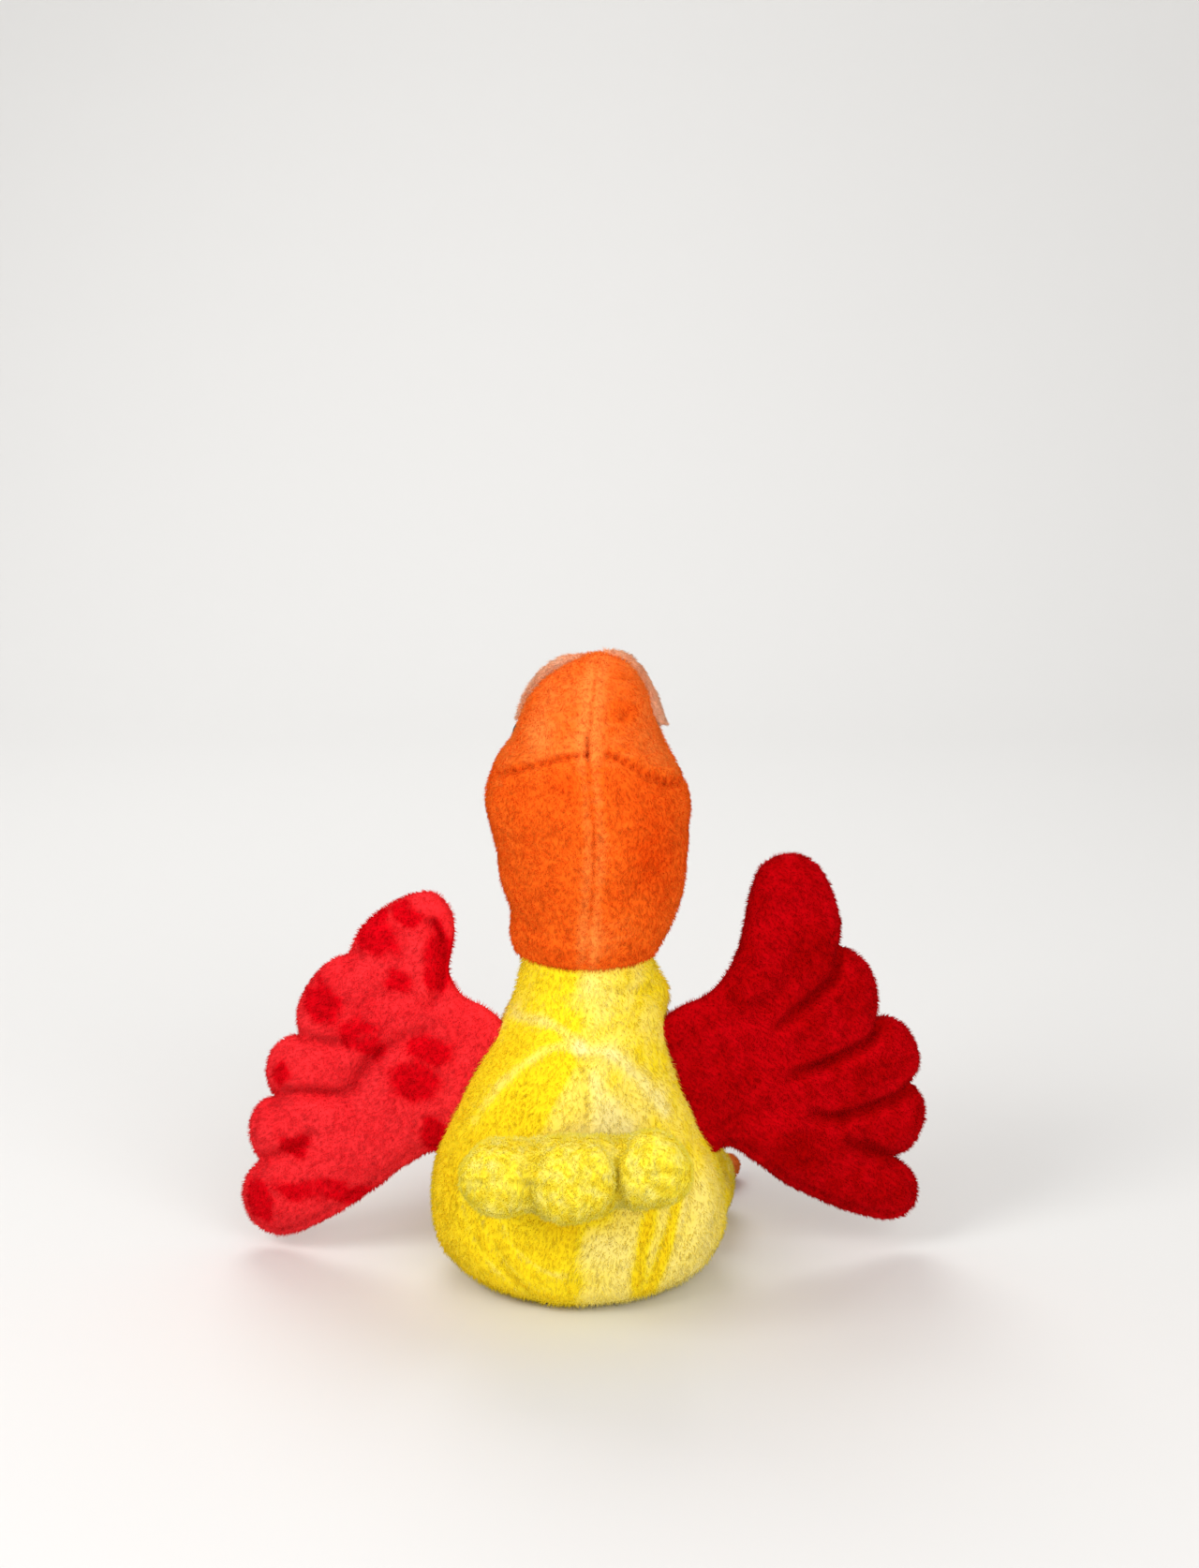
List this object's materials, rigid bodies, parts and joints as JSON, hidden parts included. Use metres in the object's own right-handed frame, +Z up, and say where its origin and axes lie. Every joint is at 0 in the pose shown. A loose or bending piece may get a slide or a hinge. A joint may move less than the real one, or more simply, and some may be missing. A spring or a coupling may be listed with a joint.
{
  "type": "sewn plush bird",
  "caption": "Sewn plush bird that sits upright: orange hooded head, yellow weighted body, spread red scalloped wings, lobed tail and webbed feet.",
  "frame": {"origin": "centre of the flat seat panel, where the bird sits", "axes": "+Z up out of the seat; the bird faces -Y, so +X is its left side"},
  "size_m": [0.2642, 0.1968, 0.242],
  "materials": {
    "orange_plush": "matte",
    "yellow_plush": "matte",
    "red_plush": "matte",
    "peach_plush": "matte",
    "beak_plush": "matte",
    "foot_plush": "matte",
    "fibre_fill": "matte",
    "pellet_cotton": "matte",
    "eye_plastic": "gloss",
    "washer_nylon": "matte"
  },
  "bodies": {
    "torso": {"body_back_left": "yellow_plush", "body_back_right": "yellow_plush", "belly_panel": "yellow_plush", "seat_panel": "yellow_plush", "body_stuffing": "fibre_fill", "pellet_pouch": "pellet_cotton"},
    "neck": {"neck_stuffing": "fibre_fill"},
    "head": {"head_back_left": "orange_plush", "head_back_right": "orange_plush", "crown_left": "orange_plush", "crown_right": "orange_plush", "face_panel": "orange_plush", "head_stuffing": "fibre_fill", "beak_upper": "beak_plush", "beak_lower": "beak_plush", "crest_left": "peach_plush", "crest_right": "peach_plush", "eye_left": "eye_plastic", "eye_right": "eye_plastic", "eye_washer_left": "washer_nylon", "eye_washer_right": "washer_nylon"},
    "wing_left": {"wing_left_front": "red_plush", "wing_left_back": "red_plush", "wing_left_stuffing": "fibre_fill"},
    "wing_right": {"wing_right_front": "red_plush", "wing_right_back": "red_plush", "wing_right_stuffing": "fibre_fill"},
    "tail": {"tail_upper": "yellow_plush", "tail_under": "yellow_plush", "tail_stuffing": "fibre_fill"},
    "leg_left": {"leg_left_cover": "yellow_plush", "leg_left_stuffing": "fibre_fill"},
    "leg_right": {"leg_right_cover": "yellow_plush", "leg_right_stuffing": "fibre_fill"},
    "foot_left": {"foot_left_upper": "foot_plush", "foot_left_sole": "foot_plush", "foot_left_stuffing": "fibre_fill"},
    "foot_right": {"foot_right_upper": "foot_plush", "foot_right_sole": "foot_plush", "foot_right_stuffing": "fibre_fill"}
  },
  "joints": [
    {"name": "head_turn", "type": "hinge", "parent": "torso", "child": "neck", "pos_m": [0, 0, 0.119], "axis": [0, 0, 1], "range_deg": [-60, 60], "stiffness_Nm_per_rad": 0.25},
    {"name": "head_nod", "type": "hinge", "parent": "neck", "child": "head", "pos_m": [0, 0, 0.119], "axis": [1, 0, 0], "range_deg": [-20, 20], "stiffness_Nm_per_rad": 0.9},
    {"name": "wing_left_swing", "type": "hinge", "parent": "torso", "child": "wing_left", "pos_m": [0.04473, -0.00019, 0.074], "axis": [-0.3495, 0.093, 0.9323], "range_deg": [-30, 35], "stiffness_Nm_per_rad": 0.2},
    {"name": "wing_right_swing", "type": "hinge", "parent": "torso", "child": "wing_right", "pos_m": [-0.04473, -0.00019, 0.074], "axis": [-0.3495, -0.093, -0.9323], "range_deg": [-30, 35], "stiffness_Nm_per_rad": 0.2},
    {"name": "tail_lift", "type": "hinge", "parent": "torso", "child": "tail", "pos_m": [0, 0.0515, 0.059], "axis": [1, 0, 0], "range_deg": [-15, 40], "stiffness_Nm_per_rad": 0.3},
    {"name": "leg_left_raise", "type": "hinge", "parent": "torso", "child": "leg_left", "pos_m": [0.03496, -0.04196, 0.031], "axis": [-0.9968, -0.0799, 0], "range_deg": [0, 70], "stiffness_Nm_per_rad": 0.3},
    {"name": "foot_left_flex", "type": "hinge", "parent": "leg_left", "child": "foot_left", "pos_m": [0.03696, -0.06688, 0.0065], "axis": [-0.9968, -0.0799, 0], "range_deg": [-25, 45], "stiffness_Nm_per_rad": 0.1},
    {"name": "leg_right_raise", "type": "hinge", "parent": "torso", "child": "leg_right", "pos_m": [-0.04372, -0.04198, 0.031], "axis": [-0.9982, 0.06, 0], "range_deg": [0, 70], "stiffness_Nm_per_rad": 0.3},
    {"name": "foot_right_flex", "type": "hinge", "parent": "leg_right", "child": "foot_right", "pos_m": [-0.04522, -0.06693, 0.0065], "axis": [-0.9982, 0.06, 0], "range_deg": [-25, 45], "stiffness_Nm_per_rad": 0.1}
  ]
}
